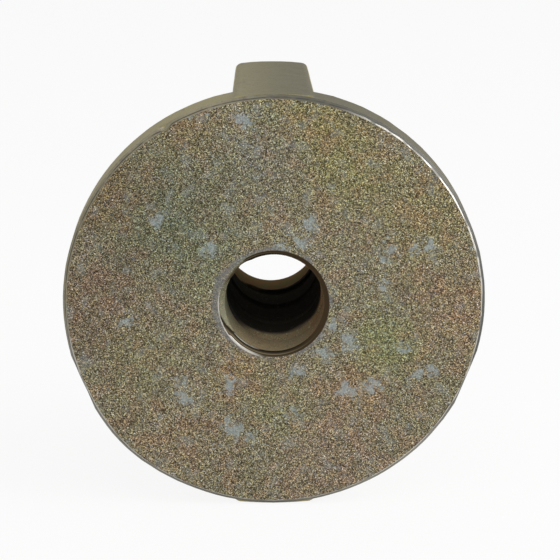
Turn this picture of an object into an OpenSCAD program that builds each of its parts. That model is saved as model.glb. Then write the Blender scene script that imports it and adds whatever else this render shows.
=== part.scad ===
// Flanged wing nut for coarse-thread tie rods, forged in one piece.
// A round bearing plate carries a hub and two wings, which are trimmed flush with the plate's rim.
// The rod's axis is horizontal, along +Y, and the nut stands on its rim and on its lower wing.
// The bearing face looks towards -Y. The origin lies on the axis, halfway between face and hub end.

/* [Plate] */
// Diameter of the round plate
plate_d = 70; // [60:1:110]
// Thickness of the plate at its rim
plate_t = 7; // [5:0.5:10]
// Slope of the plate's back, which rises towards the hub, in degrees
plate_slope = 3; // [0.5:0.5:6]
// Bevel around the bearing face
face_bevel = 0.7; // [0.2:0.1:1.5]
// Depth of the flats where flash was ground off the rim
flash_flat = 0.35; // [0.1:0.05:0.6]

/* [Hub] */
// Height of the whole nut, from the bearing face to the hub's end
nut_h = 50; // [42:1:70]
// Diameter of the hub where it meets the plate
hub_d = 29; // [26:0.5:40]
// Draft of the hub's side, in degrees
hub_draft = 1.5; // [0.5:0.25:3]
// Radius that rounds the hub's end
hub_round = 2; // [0.5:0.25:3]
// Radius of the fillet between the hub and the plate
hub_fillet = 4; // [1:0.5:6]

/* [Wings] */
// Thickness of a wing at the bearing face's level
wing_t = 14.1; // [10:0.1:18]
// Height of a wing's outer end above the bearing face
wing_h = 38; // [26:1:40]
// Slope at which a wing's top rises towards the hub, in degrees
wing_rise = 8; // [0:1:12]
// Draft of each side of a wing, in degrees
wing_draft = 0.9; // [0.3:0.1:3]
// Radius of the curve of a wing's end, seen along the axis, a little flatter than the rim
wing_end_r = 60; // [52:1:90]
// How far a wing's end stands proud of the rim
wing_proud = 0.05; // [0.05:0.05:0.5]
// Radius that rounds the long edges of a wing
wing_round = 1.5; // [0.8:0.1:3]
// Radius that rounds a wing's outer corner, seen from the side
wing_corner = 4; // [1:0.5:8]
// Radius of the fillet between a wing and the hub
wing_fillet = 5; // [2:0.5:8]
// Radius of the fillet between a wing and the plate
foot_fillet = 3; // [1:0.5:5]

/* [Thread] */
// Pitch of the right-hand thread
pitch = 10; // [8:0.5:14]
// Radius of the thread's lands, which clear the rod's core
land_r = 7.95; // [7.7:0.05:8.2]
// Depth of the groove, which takes the rod's ribs
groove_depth = 1.35; // [0.8:0.05:1.8]
// Width of the groove where it opens in the lands
groove_w = 3.4; // [2.5:0.1:5]
// Width of the groove at its root
root_w = 1.3; // [0.8:0.1:2.2]
// Turn at which the groove leaves the bearing face, clockwise from the right, in degrees
groove_turn = 105; // [0:5:360]

/* [Bore ends] */
// Radius of the countersink in the bearing face
mouth_r = 9.1; // [8.7:0.05:10]
// Depth of the countersink
mouth_depth = 0.7; // [0.3:0.05:1.5]
// Distance from the axis at which the countersink stops on its unfinished side
mouth_stop = 8.4; // [8.35:0.05:8.6]
// Turn of the unfinished side, clockwise from the right, in degrees
mouth_stop_turn = 217; // [200:1:235]
// Radius at the face of the gentle taper that leads the rod in
lead_r = 8.3; // [8.25:0.01:8.34]
// Length of that taper
lead_len = 7; // [3:0.5:10]
// Radius of the plain counterbore at the hub's end
tail_r = 8.65; // [8.5:0.05:9.2]
// Depth of the counterbore at the hub's end
tail_depth = 9.7; // [6:0.1:12]
// Bevel at the edge of the counterbore
tail_bevel = 0.4; // [0.2:0.1:0.8]

/* [Hidden] */

plate_r = plate_d / 2;
hub_r = hub_d / 2;
// Height at which the sloping back of the plate meets the hub
foot_z = plate_t + (plate_r - hub_r) * tan(plate_slope);
// Radius of the hub below its rounded end
hub_top_r = hub_r - (nut_h - foot_z) * tan(hub_draft);
// Distance from the axis that a wing reaches
wing_reach = plate_r + wing_proud;
groove_r = land_r + groove_depth;
// Turns of the rim, clockwise from the right, at which flash was ground off
flash_turns = [22, 157];
// How far a cutting shape reaches past the surface that it cuts
over = 1;
// Steps in one turn of the groove, and over how many the groove fades out at its end
turn_steps = 36;
fade_steps = 9;
$fn = 96;

// Half section of the plate and hub: x is the radius, y the height above the bearing face.
module blank_section() {
    difference() {
        union() {
            polygon([
                [0, 0],
                [plate_r - face_bevel, 0],
                [plate_r, face_bevel],
                [plate_r, plate_t],
                [hub_r, foot_z],
                [0, foot_z]
            ]);
            polygon([
                [0, 0],
                [hub_r, 0],
                [hub_r, foot_z],
                [hub_top_r, nut_h - hub_round],
                [hub_top_r - hub_round, nut_h - hub_round],
                [hub_top_r - hub_round, nut_h],
                [0, nut_h]
            ]);
            translate([hub_top_r - hub_round, nut_h - hub_round]) circle(hub_round);
            // the metal that the fillet is cut from
            polygon([
                [0, 0],
                [hub_r + hub_fillet, 0],
                [hub_r + hub_fillet, foot_z],
                [hub_r, foot_z + hub_fillet],
                [0, foot_z + hub_fillet]
            ]);
        }
        translate([hub_r + hub_fillet, foot_z + hub_fillet]) circle(hub_fillet);
        translate([-nut_h, -over]) square([nut_h, nut_h + 2 * over]);
    }
}

// Outline of one side of a wing, from the axis to its end, with the outer corner rounded.
// y runs outwards along the wing and x across it. The rounding runs smoothly into the end's curve.
module wing_side_outline() {
    end_y = wing_reach - wing_end_r;
    corner_x = wing_t / 2 - wing_round;
    corner_y = end_y + sqrt(pow(wing_end_r - wing_round, 2) - pow(corner_x, 2));
    intersection() {
        translate([0, end_y]) circle(wing_end_r);
        polygon([
            [-wing_t, 0],
            [wing_t / 2, 0],
            [wing_t / 2, corner_y],
            [corner_x, corner_y],
            [1.2 * corner_x, corner_y + 0.2 * (corner_y - end_y)],
            [-wing_t, corner_y + 0.2 * (corner_y - end_y)]
        ]);
    }
    translate([corner_x, corner_y]) circle(wing_round);
}

// Fillet between the hub and one side of a wing, seen along the axis.
module wing_root_outline(fillet_x, fillet_y) {
    difference() {
        polygon([[0, 0], [fillet_x, fillet_y], [0, fillet_y]]);
        translate([fillet_x, fillet_y]) circle(wing_fillet);
    }
}

// The same fillet as a solid, which leans towards the axis with the hub's side.
module wing_root() {
    fillet_x = wing_t / 2 + wing_fillet;
    fillet_y = sqrt(pow(hub_r + wing_fillet, 2) - pow(fillet_x, 2));
    turn = atan2(fillet_y, fillet_x);
    translate([0, 0, foot_z]) rotate([0, 0, turn]) rotate([0, -hub_draft, 0]) rotate([0, 0, -turn])
        translate([0, 0, -plate_t / 2]) linear_extrude(nut_h) wing_root_outline(fillet_x, fillet_y);
}

// Section across a wing's top: x is across it and y down from the top's own level.
// Below the rounded edges it stands just outside the wing's drafted sides.
module wing_top_section() {
    top_x = wing_t / 2 - (wing_h - wing_round) * tan(wing_draft);
    polygon([
        [-wing_t, -2 * wing_h],
        [wing_t, -2 * wing_h],
        [top_x, -wing_round],
        [-top_x, -wing_round]
    ]);
    translate([wing_round - top_x, -2 * wing_h]) square([2 * (top_x - wing_round), 2 * wing_h]);
    for (side = [-1, 1])
        translate([side * (top_x - wing_round), -wing_round]) circle(wing_round);
}

// Side view of a wing: x runs outwards, y is the height. It starts above the bevel of the plate's
// face, and its top is cut by the section above.
module wing_end_section() {
    end_x = wing_reach - wing_corner;
    translate([0, face_bevel]) square([end_x, 2 * wing_h]);
    translate([0, face_bevel]) square([wing_reach + over, wing_h - wing_corner - face_bevel]);
    translate([end_x, wing_h - wing_corner]) circle(wing_corner);
}

// Section of the fillet between the plate and one side of a wing: x is across the wing, y the height.
// Its foot lies on the plate's back at the wing's side.
module wing_foot_outline() {
    side_x = wing_t / 2 - foot_z * tan(wing_draft);
    difference() {
        polygon([
            [0, -plate_t / 2],
            [side_x + foot_fillet, -plate_t / 2],
            [side_x + foot_fillet, 0],
            [side_x, foot_fillet],
            [0, foot_fillet]
        ]);
        translate([side_x + foot_fillet, foot_fillet]) circle(foot_fillet);
    }
}

// One side of a wing, leaning inwards by the draft.
module wing_side() {
    rotate([0, -wing_draft, 0]) linear_extrude(nut_h) wing_side_outline();
}

// A wing that points along +Y, with the axis along +Z.
module wing() {
    intersection() {
        wing_side();
        mirror([1, 0, 0]) wing_side();
        translate([0, wing_reach - wing_corner, wing_h]) rotate([90 - wing_rise, 0, 0])
            linear_extrude(2 * plate_d, center = true) wing_top_section();
        rotate([90, 0, 90]) linear_extrude(2 * wing_t, center = true) wing_end_section();
    }
    // the fillets to the hub end where the rounding of the wing's top begins
    intersection() {
        for (side = [0, 1])
            mirror([side, 0, 0]) wing_root();
        translate([0, wing_reach - wing_corner, wing_h - wing_round]) rotate([90 - wing_rise, 0, 0])
            linear_extrude(2 * plate_d, center = true)
                translate([-plate_r, -nut_h])
                    square([plate_d, nut_h]);
    }
    // the fillets at the wing's foot follow the slope of the plate's back and run out before the rim
    intersection() {
        translate([0, hub_r, foot_z]) rotate([90 - plate_slope, 0, 0])
            for (side = [0, 1])
                mirror([side, 0, 0]) linear_extrude(2 * (plate_r - hub_r), center = true) wing_foot_outline();
        translate([0, 0, plate_t / 2])
            cylinder(r1 = plate_r, r2 = 0, h = plate_r);
    }
}

// Corner points of the groove's section at a given turn: [radius, height].
function groove_section(turn, root) = let (mid = pitch * (turn - groove_turn) / 360 - groove_w / 2) [
    [land_r - over, mid + groove_w / 2 + over * (groove_w - root_w) / 2 / groove_depth],
    [root, mid + root_w / 2],
    [root, mid - root_w / 2],
    [land_r - over, mid - groove_w / 2 - over * (groove_w - root_w) / 2 / groove_depth]
];

// Solid that cuts the helical groove. It starts outside the bearing face and fades into the counterbore.
module groove() {
    first_turn = groove_turn - 60;
    last_turn = groove_turn + 360 * (nut_h - tail_depth + groove_w) / pitch;
    steps = ceil((last_turn - first_turn) / 360 * turn_steps);
    corners = len(groove_section(groove_turn, groove_r));
    points = [
        for (step = [0 : steps])
            let (turn = first_turn + step * 360 / turn_steps)
            let (fade = min(1, (steps - step) / fade_steps))
            for (corner = groove_section(turn, land_r + (groove_r - land_r) * fade))
                [corner[0] * cos(turn), corner[0] * sin(turn), corner[1]]
    ];
    sides = [
        for (step = [0 : steps - 1])
            for (edge = [0 : corners - 1])
                let (a = step * corners + edge)
                let (b = step * corners + (edge + 1) % corners)
                each [[a, b + corners, b], [a, a + corners, b + corners]]
    ];
    last = steps * corners;
    ends = [[0, 1, 2, 3], [last + 3, last + 2, last + 1, last]];
    polyhedron(points, concat(sides, ends));
}

// The bore with its two ends, along +Z from the bearing face.
module bore() {
    translate([0, 0, -over]) cylinder(r = land_r, h = nut_h + 2 * over);
    translate([0, 0, -over])
        cylinder(r1 = lead_r + over * (lead_r - land_r) / lead_len, r2 = land_r, h = lead_len + over);
    translate([0, 0, nut_h - tail_depth]) cylinder(r = tail_r, h = tail_depth + over);
    translate([0, 0, nut_h - tail_bevel])
        cylinder(r1 = tail_r, r2 = tail_r + tail_bevel + over, h = tail_bevel + over);
    difference() {
        translate([0, 0, -over])
            cylinder(r1 = mouth_r + over, r2 = mouth_r - mouth_depth, h = mouth_depth + over);
        rotate(mouth_stop_turn) translate([mouth_stop, -mouth_r, -2 * over])
            cube([2 * over + mouth_r, 2 * mouth_r, mouth_depth + 4 * over]);
    }
}

// The whole nut, with its axis along +Z and its bearing face at the bottom.
module upright_nut() {
    difference() {
        union() {
            rotate_extrude() blank_section();
            wing();
            rotate(180) wing();
        }
        bore();
        groove();
        for (turn = flash_turns)
            rotate(turn) translate([plate_r - flash_flat, -plate_r, -over])
                cube([flash_flat + over, plate_d, nut_h]);
    }
}

module wing_nut() {
    color("darkkhaki") translate([0, -nut_h / 2, 0]) rotate([-90, 0, 0]) upright_nut();
}

wing_nut();
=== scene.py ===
# %% [markdown]
# # A forged wing nut for formwork
# The nut is one piece of forged steel: a round bearing plate with a hub and two wings behind it, and
# a coarse thread through the middle. It is blasted, zinc plated and yellow passivated, which gives
# the mottled olive and brown skin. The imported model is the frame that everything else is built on.

# %% The frame
import math

import bmesh
import bpy
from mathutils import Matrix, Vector, noise


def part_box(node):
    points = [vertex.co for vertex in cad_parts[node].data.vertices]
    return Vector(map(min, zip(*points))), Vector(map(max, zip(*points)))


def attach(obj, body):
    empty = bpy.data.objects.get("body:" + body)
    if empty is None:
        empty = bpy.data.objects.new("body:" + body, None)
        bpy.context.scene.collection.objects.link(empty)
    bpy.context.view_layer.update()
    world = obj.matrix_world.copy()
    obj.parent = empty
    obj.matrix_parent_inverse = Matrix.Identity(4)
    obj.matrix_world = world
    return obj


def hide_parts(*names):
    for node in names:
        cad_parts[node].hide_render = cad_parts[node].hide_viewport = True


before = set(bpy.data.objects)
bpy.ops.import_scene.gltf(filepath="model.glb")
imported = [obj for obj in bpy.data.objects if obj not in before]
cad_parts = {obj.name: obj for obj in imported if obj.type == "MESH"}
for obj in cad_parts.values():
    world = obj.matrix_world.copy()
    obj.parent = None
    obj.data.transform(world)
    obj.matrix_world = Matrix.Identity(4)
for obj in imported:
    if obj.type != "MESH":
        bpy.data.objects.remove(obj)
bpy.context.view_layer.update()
MM = 0.001
low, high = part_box("wing_nut")
FACE_Y = low.y / MM
HUB_END_Y = high.y / MM
RIM_R = high.x / MM
print("box of the nut in mm:", [round(v / MM, 2) for v in (*low, *high)])

# %% [markdown]
# ## The camera
# The nut is seen from nearly straight ahead, with the camera raised 15 degrees above the rod's axis.
# The lens is long, so that the far end of the wings is only slightly smaller than the face. The
# camera looks a little above the middle of the face, because the upper wing shows above it.

# %% The camera
RAISED, TO_THE_LEFT = math.radians(15), math.radians(0.7)
DISTANCE, LENS = 382 * MM, 148.8
LOOK_ABOVE, LOOK_BESIDE = 3.98 * MM, 0.95 * MM

face_centre = Vector((0, FACE_Y * MM, 0))
towards_camera = Vector(
    (
        -math.sin(TO_THE_LEFT) * math.cos(RAISED),
        -math.cos(TO_THE_LEFT) * math.cos(RAISED),
        math.sin(RAISED),
    )
)
to_right = Vector((0, 0, 1)).cross(towards_camera).normalized()
upwards = towards_camera.cross(to_right)
camera_data = bpy.data.cameras.new("camera")
camera_data.lens = LENS
camera_data.sensor_width = 36
camera_data.clip_start, camera_data.clip_end = 0.01, 10
camera = bpy.data.objects.new("camera", camera_data)
bpy.context.scene.collection.objects.link(camera)
bpy.context.scene.camera = camera
camera.location = face_centre + DISTANCE * towards_camera
aim = face_centre + LOOK_ABOVE * upwards + LOOK_BESIDE * to_right
camera.rotation_euler = (aim - camera.location).to_track_quat("-Z", "Y").to_euler()
print("camera at", [round(v, 3) for v in camera.location])

# %% [markdown]
# ## A copy of the solid with more points
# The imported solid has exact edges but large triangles, and a forging is never quite flat. A merged
# copy keeps every edge of the solid. Its long edges are divided a few times, which leaves room to
# work the surface by small dents. Around the nick in the rim the points lie closer together. The
# dividing also doubles about a hundred triangles, a fault that isn't mended here: some edges then
# belong to more than two, and the cell counts those.

# %% A finer copy of the solid
LONGEST_EDGE, NICK_EDGE = 2.0, 0.35
PASSES = 6
# the nick: its place in the rim as a turn clockwise from the right, its radius and its depth
NICK_TURN, NICK_R, NICK_DEPTH = math.radians(239), 1.1, 0.5
nick = Vector((RIM_R * math.cos(NICK_TURN), FACE_Y, -RIM_R * math.sin(NICK_TURN)))

skin = bmesh.new()
skin.from_mesh(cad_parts["wing_nut"].data)
bmesh.ops.remove_doubles(skin, verts=skin.verts, dist=2e-6)
print("faulty edges of the merged copy:", sum(not e.is_manifold for e in skin.edges))
for _ in range(PASSES):
    long_edges = []
    for edge in skin.edges:
        length = edge.calc_length() / MM
        middle = (edge.verts[0].co + edge.verts[1].co) / (2 * MM)
        near_nick = (middle - nick).length < 2 * NICK_R + length / 2
        if length > (NICK_EDGE if near_nick else LONGEST_EDGE):
            long_edges.append(edge)
    bmesh.ops.subdivide_edges(skin, edges=long_edges, cuts=1)
    bmesh.ops.triangulate(skin, faces=[f for f in skin.faces if len(f.verts) > 3])
print("points:", len(skin.verts), "triangles:", len(skin.faces))
print("edges not shared by two triangles:", sum(not e.is_manifold for e in skin.edges))

# %% [markdown]
# ## Forged unevenness
# The die and the blasting leave a skin that is slightly wavy, and the trimmed edge of the plate is
# not quite round: it stands a little proud at the lower left and is ground a little flatter at two
# places. Every point moves inwards by a smooth noise. The bore stays as the threading tool left it,
# so that the noise fades out near it, but the edge of its mouth is knocked nearly round where the
# groove leaves it. The wings' ends are worn a little rounder towards their sides.

# %% Forged unevenness
WAVES = ((7.0, 0.09), (2.6, 0.05))  # size and depth of the waves
BULGE_TURN, BULGE_HALF_WIDTH, BULGE = 135, 16, 0.36
GROUND_TURNS, GROUND_HALF_WIDTH, GROUND = (18, 154), 7, 0.1
EDGE_WAVE = 0.12
PLATE_BACK_Y = FACE_Y + 8
# the wings' ends are worn rounder towards their sides
WING_HALF, WORN_SIDES = 7.0, 0.3
# the edge of the mouth, where the groove's notch is knocked nearly round
MOUTH_R, MOUTH_BAND, MOUTH_LEFT = 9.13, 0.3, 0.25


def smooth(value, start, end):
    """0 at start and 1 at end, with a smooth run between them."""
    share = min(max((value - start) / (end - start), 0), 1)
    return share * share * (3 - 2 * share)


def bump(offset, half_width):
    """1 in the middle, falling smoothly to nearly 0 at twice the half width."""
    return math.exp(-((offset / half_width) ** 2))


skin.normal_update()
moves = []
for vert in skin.verts:
    spot = vert.co / MM
    radius = math.hypot(spot.x, spot.z)
    turn = math.degrees(math.atan2(-spot.z, spot.x)) % 360
    outside_bore = smooth(radius, 10.5, 12.5)
    depth = sum(d * (0.5 + 0.5 * noise.noise(spot / s)) for s, d in WAVES)
    move = -depth * outside_bore * vert.normal
    if spot.y < FACE_Y + 0.05 and abs(radius - MOUTH_R) < MOUTH_BAND:
        round_r = MOUTH_R + MOUTH_LEFT * (radius - MOUTH_R)
        move += (round_r / radius - 1) * Vector((spot.x, 0, spot.z))
    if spot.y < PLATE_BACK_Y:
        at_rim = smooth(radius, RIM_R - 2.0, RIM_R - 0.6)
        wave = EDGE_WAVE * (0.5 + 0.5 * noise.noise(Vector((turn / 4, spot.y / 3, 5.0))))
        ground = sum(GROUND * bump(turn - at, GROUND_HALF_WIDTH) for at in GROUND_TURNS)
        bulge = BULGE * bump(turn - BULGE_TURN, BULGE_HALF_WIDTH)
        outwards = Vector((spot.x, 0, spot.z)).normalized()
        move += (bulge - ground - wave) * at_rim * outwards
        from_nick = (spot - nick).length / NICK_R
        if from_nick < 2:
            inwards = Vector((0, 0.8, 0)) - outwards
            move += NICK_DEPTH * bump(from_nick, 0.8) * inwards
    elif abs(spot.z) > RIM_R - 3:
        move.z -= math.copysign(WORN_SIDES * (spot.x / WING_HALF) ** 2, spot.z)
    moves.append(move)
for vert, move in zip(skin.verts, moves):
    vert.co += move * MM
print("largest move in mm:", round(max(m.length for m in moves), 2))

# %% [markdown]
# ## The finished piece
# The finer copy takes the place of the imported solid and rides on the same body. Its corners stay
# crisp where the forging's faces meet at more than 30 degrees, and the rest is shaded smooth.

# %% The finished piece
SHARP = math.radians(30)
for face in skin.faces:
    face.smooth = True
for edge in skin.edges:
    edge.smooth = edge.calc_face_angle(0) < SHARP
print("sharp edges:", sum(not e.smooth for e in skin.edges))
nut_mesh = bpy.data.meshes.new("forged_nut")
skin.to_mesh(nut_mesh)
skin.free()
nut = bpy.data.objects.new("forged_nut", nut_mesh)
bpy.context.scene.collection.objects.link(nut)
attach(nut, "root")
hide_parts("wing_nut")

# %% [markdown]
# ## Shader sums
# A material is easier to read as sums than as wires. The class wraps one socket of a node, and its
# operators add Math nodes, so that 1 - mask or worn * 0.5 can be written as they are thought.


# %% Shader sums
class Value:
    """A socket in a material. Sums on it add Math nodes, and node() adds any other node."""

    def __init__(self, tree, socket=None):
        self.tree, self.socket = tree, socket

    def node(self, kind, settings=None, inputs=None, out=0):
        made = self.tree.nodes.new(kind)
        for name, setting in (settings or {}).items():
            if name == "stops":
                elements = made.color_ramp.elements
                while len(elements) < len(setting):
                    elements.new(1)
                for element, (place, colour) in zip(elements, setting):
                    element.position, element.color = place, (*colour, 1)
            else:
                setattr(made, name, setting)
        for name, value in (inputs or {}).items():
            if isinstance(value, Value):
                self.tree.links.new(value.socket, made.inputs[name])
            else:
                made.inputs[name].default_value = value
        return Value(self.tree, made.outputs[out]) if made.outputs else None

    def math(self, operation, *values):
        return self.node("ShaderNodeMath", {"operation": operation}, dict(enumerate(values)))

    def __add__(self, other):
        return self.math("ADD", self, other)

    def __sub__(self, other):
        return self.math("SUBTRACT", self, other)

    def __rsub__(self, other):
        return self.math("SUBTRACT", other, self)

    def __mul__(self, other):
        return self.math("MULTIPLY", self, other)

    def __pow__(self, other):
        return self.math("POWER", self, other)

    __radd__, __rmul__ = __add__, __mul__

    def rise(self, start, end):
        """0 at start and 1 at end, with a smooth run between them. start may be the larger one."""
        return self.node(
            "ShaderNodeMapRange",
            {"interpolation_type": "SMOOTHSTEP"},
            {"Value": self, "From Min": start, "From Max": end},
        )

    def mixed(self, first, second):
        """first where this value is 0 and second where it is 1, as colours."""
        first, second = (c if isinstance(c, Value) else (*c, 1) for c in (first, second))
        return self.node(
            "ShaderNodeMix",
            {"data_type": "RGBA"},
            {0: self, 6: first, 7: second},
            out=2,
        )

    def times(self, colour):
        """This colour multiplied by another."""
        return self.node(
            "ShaderNodeMix",
            {"data_type": "RGBA", "blend_type": "MULTIPLY"},
            {0: 1.0, 6: self, 7: colour if isinstance(colour, Value) else (*colour, 1)},
            out=2,
        )

    def ramp(self, stops):
        """The colour at this value, from a list of places and colours."""
        return self.node("ShaderNodeValToRGB", {"stops": stops}, {"Fac": self})

    def part(self, axis):
        """One coordinate of a vector."""
        return self.node("ShaderNodeSeparateXYZ", inputs={0: self}, out="XYZ".index(axis))

    def noise(self, size, detail=2.0, shift=0.0):
        """Smooth noise around 0.5, with waves of about the given size in mm."""
        moved = self.node(
            "ShaderNodeVectorMath", {"operation": "ADD"}, {0: self, 1: (shift, shift, shift)}
        )
        return self.node(
            "ShaderNodeTexNoise",
            inputs={"Vector": moved, "Scale": 1 / size, "Detail": detail},
        )

    def cells(self, size, out="Distance"):
        """Grains of about the given size in mm: how far from its middle, or its own colour."""
        return self.node(
            "ShaderNodeTexVoronoi",
            inputs={"Vector": self, "Scale": 1 / size, "Randomness": 1.0},
            out=out,
        )

    def distance(self, point):
        """Distance from a point, in mm."""
        return self.node(
            "ShaderNodeVectorMath", {"operation": "DISTANCE"}, {0: self, 1: point}, out="Value"
        )


# %% [markdown]
# ## Where a point lies
# Most of the finish depends on the place, so the material first works out where a point is, in
# millimetres from the middle of the bore: how far from the axis, and how deep behind the face.

# %% Where a point lies
steel = bpy.data.materials.new("plated_steel")
steel.use_nodes = True
tree = steel.node_tree
shader = tree.nodes["Principled BSDF"]
blank = Value(tree)
coordinates = blank.node("ShaderNodeTexCoord", out="Object")
place = blank.node(
    "ShaderNodeVectorMath", {"operation": "SCALE"}, {0: coordinates, "Scale": 1 / MM}
)
normal = blank.node("ShaderNodeTexCoord", out="Normal")
x, y, z = place.part("X"), place.part("Y"), place.part("Z")
radius = (x * x + z * z) ** 0.5
depth = y - FACE_Y
wander = place.noise(3.0) - 0.5  # roughens the borders between the areas

# %% [markdown]
# ## The outside
# The face, its bevel, the rim, the wings' ends and the back each have their own finish. The bevel
# has a bright line near the face, broken in places and missing at the upper left, which is partly
# worn metal and partly a painted highlight, and a dark line beside it. Each area is a mask that is 1
# inside it and 0 outside.

# %% The outside
on_face = normal.part("Y").rise(-0.8, -0.95) * depth.rise(0.6, 0.35) * radius.rise(8.6, 9.3)
on_bevel = (
    radius.rise(RIM_R - 1.4, RIM_R - 1.2)
    * depth.rise(1.0, 0.8)
    * normal.part("Y").rise(-0.93, -0.84)
    * normal.part("Y").rise(-0.35, -0.5)
)
upper_left = (x * -0.6 + z * 0.8).rise(13.0, 21.0)
broken = place.noise(2.6, detail=2.0, shift=14.0).rise(0.36, 0.50)
# a painted highlight on the bevel near the face, partly worn metal; it is left out at the upper left
inner_line = (
    on_bevel
    * (depth + wander * 0.3).rise(0.36, 0.24)
    * (1 - upper_left)
    * (broken * 0.5 + 0.15)
)
dark_line = on_bevel * depth.rise(0.2, 0.3) * depth.rise(0.46, 0.36)
on_rim = radius.rise(RIM_R - 0.7, RIM_R - 0.4) * depth.rise(0.6, 0.9)
in_bore = radius.rise(9.7, 9.4) * (1 - on_face)
on_ends = radius.rise(RIM_R - 1.5, RIM_R - 0.8) * (1 - on_face)
on_back = (1 - on_ends) * (1 - on_face) * (1 - in_bore)

# %% [markdown]
# ## The bore and its mouth
# A thin ring round the mouth was rubbed grey, mostly at the left. Behind the mouth's chamfer and in
# the counterbore the wall is plated. The thread between them is nearly black, partly because plating
# hardly reaches a deep bore and partly as painted shade of the deep bore. The plated part reaches
# deeper at the bottom.

# %% The bore and its mouth
COUNTERBORE = 9.7  # depth of the plain counterbore at the hub's end
THREAD_START, TAIL_START = 8.6, HUB_END_Y - FACE_Y - COUNTERBORE
patchy = place.noise(2.2, detail=2.0, shift=4.0).rise(0.40, 0.58)
at_left = (x * -1.0 + wander * 6.0).rise(-2.0, 5.0)
ring_width = 0.3 + 0.6 * (x * -1.0 - z.math("ABSOLUTE", z) * 0.4).rise(3.0, 8.0)
ring_cover = patchy.math("MAXIMUM", patchy, at_left)
round_mouth = on_face * (radius + wander * 0.9 - ring_width).rise(9.8, 9.1) * ring_cover
on_chamfer = in_bore * (depth + wander * 0.15).rise(0.9, 0.7)
in_tail = in_bore * (depth + wander * 1.0).rise(TAIL_START - 0.8, TAIL_START + 0.4)
# the mouth's edge and the lower left side, where a painted highlight goes
mouth_edge = in_bore * depth.rise(0.2, 0.12) * (radius - 8.75).rise(0.0, 0.15)
glint_side = (x * -0.85 + z * -0.52 + wander * 2.5).rise(6.0, 8.2)
at_bottom = z.rise(-2.0, -8.0)
in_thread = (
    in_bore
    * (depth - at_bottom * 2.0 + wander * 2.0).rise(THREAD_START - 1.5, THREAD_START + 1.0)
    * (1 - in_tail)
)

# %% [markdown]
# ## Mottled plating
# Yellow passivation over a blasted forging is a crowd of grains: dark pits, olive, tan, cream and
# golden crystals, with a few orange and blue-grey ones. The brightest golden ones are painted
# sparkle, a painted highlight. Each grain has one colour out of a list, and slow drifts of green,
# rust and grey lie over them; those at the left darken the face, partly as painted shade. The grains
# are about an eighth of a millimetre across. The drifts are placed one by one: across, up, reach, and
# the shade that they multiply by.

# %% Mottled plating
GRAIN, WARP = 0.125, 0.3  # size of a grain, and how far its outline is bent
warped = blank.node(
    "ShaderNodeVectorMath",
    {"operation": "MULTIPLY_ADD"},
    {
        0: place.node("ShaderNodeTexNoise", inputs={"Vector": place, "Scale": 3.0}, out="Color"),
        1: (WARP, WARP, WARP),
        2: place,
    },
)
grain_colour = warped.cells(GRAIN, out="Color")
grain_pick = grain_colour.part("X")
grain_shade = grain_colour.part("Y")
# the brightest stop is painted sparkle, a painted highlight on single grains
olive_grains = grain_pick.ramp(
    [
        (0.0, (0.022, 0.017, 0.010)),
        (0.24, (0.080, 0.062, 0.034)),
        (0.45, (0.190, 0.160, 0.098)),
        (0.66, (0.300, 0.255, 0.160)),
        (0.80, (0.760, 0.670, 0.410)),
        (0.89, (0.360, 0.250, 0.140)),
        (0.95, (0.230, 0.270, 0.300)),
        (1.0, (1.000, 0.960, 0.780)),
    ]
)
DRIFT = 0.75  # how far the drifts reach their own colour
# the drifts at the left and upper left darken the face, partly as painted shade away from the light
# at the right
DRIFTS = (
    (-18.6, 15.8, 20, (0.62, 0.74, 0.73)),
    (-1.3, 26.0, 12, (0.90, 0.98, 1.14)),
    (11.9, 23.5, 12, (1.06, 1.10, 0.76)),
    (4.5, 34.0, 12, (1.04, 1.06, 0.80)),
    (7.8, 29.0, 7, (1.10, 0.99, 0.90)),
    (24.0, 15.5, 13, (1.10, 1.06, 0.84)),
    (31.0, -1.0, 13, (1.24, 1.02, 0.98)),
    (-30.0, 0.5, 17, (0.84, 0.70, 0.75)),
    (-27.0, 19.0, 10, (1.10, 0.84, 0.74)),
    (-14.0, 30.0, 9, (1.06, 0.92, 0.80)),
    (18.5, -7.2, 9, (0.94, 1.12, 0.80)),
    (9.4, -28.0, 18, (1.18, 1.04, 1.14)),
    (-17.0, -25.0, 13, (1.16, 1.02, 1.02)),
    (-6.3, -12.0, 8, (1.16, 0.98, 0.84)),
    (13.0, -14.5, 9, (1.20, 0.98, 0.90)),
    (-12.0, 8.0, 10, (0.88, 1.00, 0.94)),
    (-22.0, -9.0, 10, (0.98, 1.04, 0.90)),
    (1.0, -19.0, 8, (0.96, 1.06, 0.90)),
)
blotches = place.noise(3.2, detail=2.5, shift=3.0)
tint = blotches.ramp(
    [
        (0.34, (1.09, 0.98, 0.92)),
        (0.44, (1.02, 0.99, 0.98)),
        (0.52, (0.97, 1.02, 0.93)),
        (0.60, (0.98, 1.02, 1.00)),
        (0.68, (1.00, 1.01, 1.08)),
    ]
)
soft_edge = (place.noise(5.0, detail=3.0, shift=9.0) - 0.5) * 9.0
for across, up, reach, shade in DRIFTS:
    spread = (place.distance((across, FACE_Y, up)) + soft_edge).rise(reach, 0.0) * DRIFT
    tint = spread.mixed(tint, tint.times(shade))
mottled = olive_grains.times(tint).times(0.72 + 0.56 * grain_shade)

# %% [markdown]
# ## Pale patches
# Where the nut lay against others in the plating bath the skin is thinner, and pale blue-grey zinc
# shows through in ragged patches. The largest ones lie on the face and are placed one by one: across,
# up, and half their width. The hidden sides get a few of the same by noise.

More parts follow.
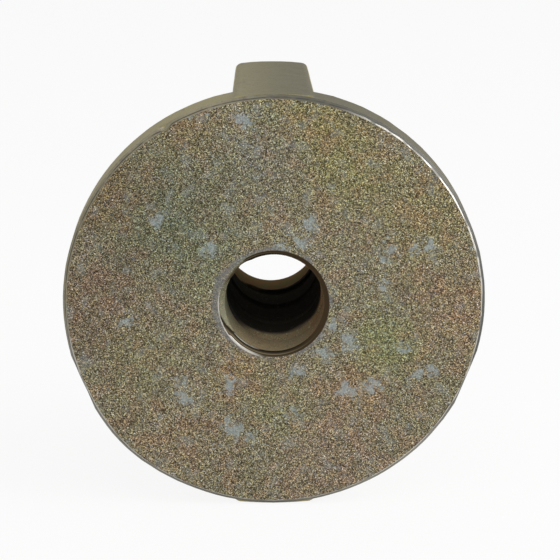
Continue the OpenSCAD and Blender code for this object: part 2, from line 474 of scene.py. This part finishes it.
# %% Pale patches
FACE_PATCHES = (
    (19.0, 9.2, 0.8),
    (18.4, 7.8, 0.7),
    (23.5, 9.4, 0.6),
    (25.6, 10.0, 0.3),
    (17.5, 3.5, 0.7),
    (6.0, 13.6, 0.9),
    (4.5, 10.6, 0.7),
    (1.2, 9.9, 0.6),
    (12.4, -6.7, 0.9),
    (8.3, -8.4, 0.8),
    (21.3, -7.7, 0.6),
    (24.2, -12.0, 0.6),
    (26.0, -11.2, 0.6),
    (11.7, -14.9, 0.7),
    (13.0, -15.3, 0.5),
    (16.4, -14.2, 0.9),
    (3.8, -11.8, 0.6),
    (2.6, -18.9, 0.5),
    (-7.6, -13.9, 0.9),
    (-15.0, -16.0, 0.9),
    (-15.6, -13.6, 0.5),
    (-8.0, -20.6, 0.7),
    (-6.3, -21.8, 0.9),
    (-4.6, -23.0, 0.6),
    (-10.8, 9.4, 0.7),
    (-19.0, 14.4, 0.8),
    (-24.6, -2.6, 0.6),
    (-4.8, 31.0, 0.9),
    (-13.0, 32.4, 0.8),
    (-10.2, 33.2, 0.8),
    (9.8, -3.5, 0.5),
)
ragged = (place.noise(0.9, detail=4.0, shift=1.0) - 0.5) * 6.0
nearest = None
for across, up, half_width in FACE_PATCHES:
    edge = place.distance((across, FACE_Y, up)) - half_width
    nearest = edge if nearest is None else nearest.math("MINIMUM", nearest, edge)
on_patch = (nearest + ragged).rise(0.8, -0.6)
hidden = (1 - on_face) * place.noise(4.0, detail=4.0, shift=8.0).rise(0.62, 0.70)
pale = (on_patch * on_face).math("MAXIMUM", on_patch * on_face, hidden * (1 - on_rim))

# %% [markdown]
# ## The colours
# Fresh zinc is blue-grey, the passivated sides are khaki, and the bevel is duller. The right of the
# rim and bevel is painted darker, a painted shade. The bore's plated ends run from cream and olive
# to brown, and the worn edges are bright metal, which is partly a painted highlight.

# %% The colours
ZINC = (0.42, 0.49, 0.50)
SIDE, SIDE_SPECKS = (0.58, 0.51, 0.25), (0.24, 0.17, 0.16)
BEVEL, DARK_LINE, SHADED_RIM = (0.27, 0.265, 0.25), (0.045, 0.043, 0.04), (0.06, 0.062, 0.056)
RING = (0.22, 0.225, 0.235)
RIM = (0.26, 0.23, 0.12)
STAINED_BEVEL = (0.17, 0.16, 0.18)
CREAM, BROWN, LOWER_WALL_REFLECTION = (0.21, 0.205, 0.135), (0.28, 0.165, 0.078), (0.35, 0.255, 0.135)
# the chamfer's painted shade
SHADED_CHAMFER = (0.07, 0.045, 0.022)
TAIL, TAIL_OLIVE = (0.26, 0.155, 0.070), (0.20, 0.165, 0.070)
# the painted highlight on the thread's last crest
TAIL_HIGHLIGHT = (0.34, 0.25, 0.17)
# the grooves painted a little lighter than the lands, a painted light
LIGHTENED_GROOVE = (0.05, 0.05, 0.045)
# bright metal: worn at the bevel's line, and a painted highlight there and at the mouth's edge
WORN_AND_GLINT = (0.80, 0.77, 0.70)
# the thread's near black: bare steel, darkened further as painted shade of the deep bore
BLACK = (0.021, 0.021, 0.020)

# %% [markdown]
# ## Colouring the outside
# The areas are laid over one another from the widest to the smallest: grains, patches, the ring round
# the mouth, the smoother sides with their small stains, the bevel, and the dark line in it.

# %% Colouring the outside
haze = place.noise(2.4, detail=3.0, shift=11.0).rise(0.56, 0.68) * 0.2
patches = haze.math("MAXIMUM", haze, pale * (0.32 + 0.6 * grain_shade))
colour = patches.mixed(mottled, ZINC)
colour = (round_mouth * (0.4 + 0.4 * grain_shade)).mixed(colour, RING)
colour = (on_back * 0.3 + on_ends * 0.82).mixed(colour, SIDE)
colour = (on_rim * 0.4).mixed(colour, RIM)
specks = on_ends * place.noise(1.0, detail=4.0, shift=6.0).rise(0.60, 0.67) * 0.5
colour = specks.mixed(colour, SIDE_SPECKS)
# painted shade: the rim and the bevel are painted darker and greyer on their right
facing_right = (x * 0.8 + z * 0.5).rise(6.0, 22.0)
edge_band = on_bevel.math("MAXIMUM", on_rim * 0.8, on_bevel)
shaded_right_edge = edge_band * facing_right
stained = upper_left * place.noise(1.2, detail=3.0, shift=18.0).rise(0.35, 0.6)
bevel_colour = stained.mixed(BEVEL, STAINED_BEVEL)
colour = (on_bevel * (0.85 - 0.3 * upper_left)).mixed(colour, bevel_colour)
colour = (shaded_right_edge * 0.8).mixed(colour, SHADED_RIM)
colour = (dark_line * (0.25 + 0.5 * broken)).mixed(colour, DARK_LINE)

# %% [markdown]
# ## Colouring the ends of the bore
# The wall behind the mouth is cream at the left and brown at the right, and painted lighter at the
# bottom, a painted reflection of the bright far end of the bore.
# The chamfer is painted dark, a painted shade, with painted light and dark bands at the left. The
# mouth's edge at the lower left gets a painted highlight of bright metal, and so does the bevel's
# line near the face, which is partly worn.

# %% Colouring the ends of the bore
towards_right = (x * 0.8 + z * 0.25).rise(-2.0, 6.0)
ends = towards_right.mixed(CREAM, BROWN)
# painted reflection: the lower wall is painted lighter, as it mirrors the bright far end of the bore
ends = (at_bottom * (1 - towards_right) * 0.8).mixed(ends, LOWER_WALL_REFLECTION)
# painted shade and highlight: dark and light bands across the chamfer, by depth
chamfer_shade_bands = depth.ramp(
    [
        (0.10, (0.060, 0.046, 0.024)),
        (0.24, (0.025, 0.018, 0.008)),
        (0.34, (0.180, 0.140, 0.080)),
        (0.46, (0.060, 0.046, 0.024)),
        (0.62, (0.012, 0.009, 0.004)),
    ]
)
ends = on_chamfer.mixed(ends, towards_right.mixed(chamfer_shade_bands, SHADED_CHAMFER))
wall_grains = place.noise(0.9, detail=3.0).rise(0.35, 0.7) * (1 - on_chamfer) * 0.5
speckled = wall_grains.mixed(ends, mottled)
colour = in_bore.mixed(colour, speckled)
# a painted highlight round the mouth's edge at the lower left, where the lamp at the right glints
mouth_line = normal.part("Y").rise(-0.8, -0.95) * radius.rise(9.38, 9.24) * (0.5 + 0.4 * broken)
mouth_glint = glint_side * mouth_line.math("MAXIMUM", mouth_line, mouth_edge * 0.5)
glint = mouth_glint.math("MAXIMUM", mouth_glint, inner_line)
colour = glint.mixed(colour, WORN_AND_GLINT)

# %% [markdown]
# ## Gloss
# Each grain has its own gloss. The pale patches are a little duller, and the bright edges, partly
# worn and partly painted highlights, are bare metal, smoother than the skin.

# %% Gloss
shininess = 0.44 + 0.10 * (grain_shade - 0.5) + 0.10 * place.noise(2.0, shift=5.0)
roughness = shininess + 0.1 * pale - 0.15 * glint
metallic = 0.6 + 0.3 * glint

# %% [markdown]
# ## The grain as relief
# The same grains stand up from the face, over a finer and a coarser unevenness. The wings' ends, the
# rim and the bore were pressed by the die or cut, so that they are much smoother.

# %% The grain as relief
GRAIN_HEIGHT, FINE_HEIGHT, COARSE_HEIGHT = 0.05, 0.06, 0.05
relief_depth = 0.16 + 0.84 * on_face + 0.7 * on_back
relief = (
    GRAIN_HEIGHT * (1 - warped.cells(GRAIN))
    + FINE_HEIGHT * place.noise(0.6, detail=3.0, shift=2.0)
    + COARSE_HEIGHT * place.noise(2.4, detail=2.0, shift=7.0)
)
height = relief * relief_depth * (1 - 0.25 * pale * on_face)
raised = height.node(
    "ShaderNodeBump", inputs={"Height": height, "Distance": MM, "Strength": 1.0}
)

for name, value in (
    ("Base Color", colour),
    ("Roughness", roughness),
    ("Metallic", metallic),
    ("Normal", raised),
):
    tree.links.new(value.socket, shader.inputs[name])

# %% [markdown]
# ## The walls of the bore
# Inside the bore the metal is dull. Its plated wall is a mix of the glossy steel and a matt skin of
# the same colour. The thread is nearly black, bare steel with painted shade of the deep bore, apart
# from a few bare specks, and its grooves are painted a little lighter. The counterbore is brown to
# olive, with a paler line where the thread ends, a painted highlight on the last crest.

# %% The walls of the bore
DARK_THREAD_COVER, BARE_SHARE, BROWN_COVER, DULL_SHARE = 0.93, 0.12, 0.94, 0.6


def matt(base_colour):
    """A shader without any gloss, for the dark thread, oxide and dull plating."""
    return blank.node(
        "ShaderNodeBsdfPrincipled",
        inputs={
            "Base Color": base_colour,
            "Normal": raised,
            "Roughness": 1.0,
            "Specular IOR Level": 0.0,
        },
    )


def covered(cover, under, over):
    """One shader where the cover is 0 and another where it is 1."""
    return blank.node("ShaderNodeMixShader", inputs={0: cover, 1: under, 2: over})


# painted light: the grooves get a lighter colour than the lands
in_groove = radius.rise(8.1, 8.6)
# painted shade: the thread is painted nearly black, partly bare steel and partly shade of the bore
dark_thread = matt(in_groove.mixed(BLACK, LIGHTENED_GROOVE))
bare_specks = place.noise(0.7, detail=3.0, shift=12.0).rise(0.60, 0.72)
tail_colour = place.noise(2.2, detail=2.0, shift=16.0).rise(0.42, 0.58).mixed(TAIL, TAIL_OLIVE)
# painted highlight: a paler line on the last crest of the thread, where the counterbore begins
tail_edge = (depth + wander * 1.4 - TAIL_START).rise(1.0, 0.3)
brown = matt((tail_edge * 0.7).mixed(tail_colour, TAIL_HIGHLIGHT))

plated = Value(tree, shader.outputs[0])
surface = covered(in_bore * (1 - mouth_edge) * DULL_SHARE, plated, matt(colour))
surface = covered(in_thread * (DARK_THREAD_COVER - BARE_SHARE * bare_specks), surface, dark_thread)
surface = covered(in_tail * BROWN_COVER, surface, brown)
tree.links.new(surface.socket, tree.nodes["Material Output"].inputs["Surface"])
nut.data.materials.append(steel)
print("nodes in the steel:", len(tree.nodes))

# %% [markdown]
# ## The floor
# The nut stands on a large sheet of white paper. To the camera, nine tenths of the sheet is an even
# white of its own, so that it nearly runs into the white background. The last tenth is lit paper,
# which shows the nut's shadow faintly.

# %% The floor
FLOOR_HALF = 3  # half the width of the sheet, in metres
GLOW = 0.9  # how much of what the camera sees of the sheet is its own white
floor_shape = bmesh.new()
bmesh.ops.create_grid(floor_shape, x_segments=1, y_segments=1, size=FLOOR_HALF)
bmesh.ops.translate(floor_shape, verts=floor_shape.verts, vec=(0, 0, low.z))
floor_mesh = bpy.data.meshes.new("floor")
floor_shape.to_mesh(floor_mesh)
floor_shape.free()
floor = bpy.data.objects.new("floor", floor_mesh)
bpy.context.scene.collection.objects.link(floor)

paper = bpy.data.materials.new("white_paper")
paper.use_nodes = True
paper.node_tree.nodes.clear()
sheet = Value(paper.node_tree)
lit = sheet.node("ShaderNodeBsdfDiffuse", inputs={"Color": (0.8, 0.8, 0.8, 1)})
bright = sheet.node("ShaderNodeEmission", inputs={"Color": (1, 1, 1, 1), "Strength": 1.0})
seen = sheet.node("ShaderNodeLightPath", out="Is Camera Ray")
surface = sheet.node("ShaderNodeMixShader", inputs={0: seen * GLOW, 1: lit, 2: bright})
sheet.node("ShaderNodeOutputMaterial", inputs={"Surface": surface})
floor.data.materials.append(paper)

# %% [markdown]
# ## The light
# A broad soft light hangs overhead and a smaller one stands at the right, which draws the bright
# lines on the right of the rim and on the lower left of the bore's mouth, where painted highlights
# add to them. The room itself gives an even grey light, and shows white to the camera.

# %% The light
ROOM = 0.5


def soft_light(name, place, width, brightness):
    """A square light that faces the nut. brightness is relative to white paper."""
    data = bpy.data.lights.new(name, "AREA")
    data.shape = "SQUARE"
    data.size = width
    data.energy = brightness * math.pi * width * width
    light = bpy.data.objects.new(name, data)
    bpy.context.scene.collection.objects.link(light)
    light.location = place
    light.rotation_euler = (-Vector(place)).to_track_quat("-Z", "Y").to_euler()


soft_light("overhead", (0.10, -0.45, 0.65), 0.6, 1.6)
soft_light("right", (0.70, -0.16, 0.36), 0.55, 4.0)

world = bpy.data.worlds.new("studio")
bpy.context.scene.world = world
world.use_nodes = True
room = Value(world.node_tree)
camera_ray = room.node("ShaderNodeLightPath", out="Is Camera Ray")
brightness = camera_ray * (1 - ROOM) + ROOM
background = world.node_tree.nodes["Background"]
background.inputs["Color"].default_value = (1, 1, 1, 1)
world.node_tree.links.new(brightness.socket, background.inputs["Strength"])

# %% [markdown]
# ## The view transform
# The render shows the colours with the Standard view transform.

# %% The view transform
bpy.context.scene.view_settings.view_transform = "Standard"
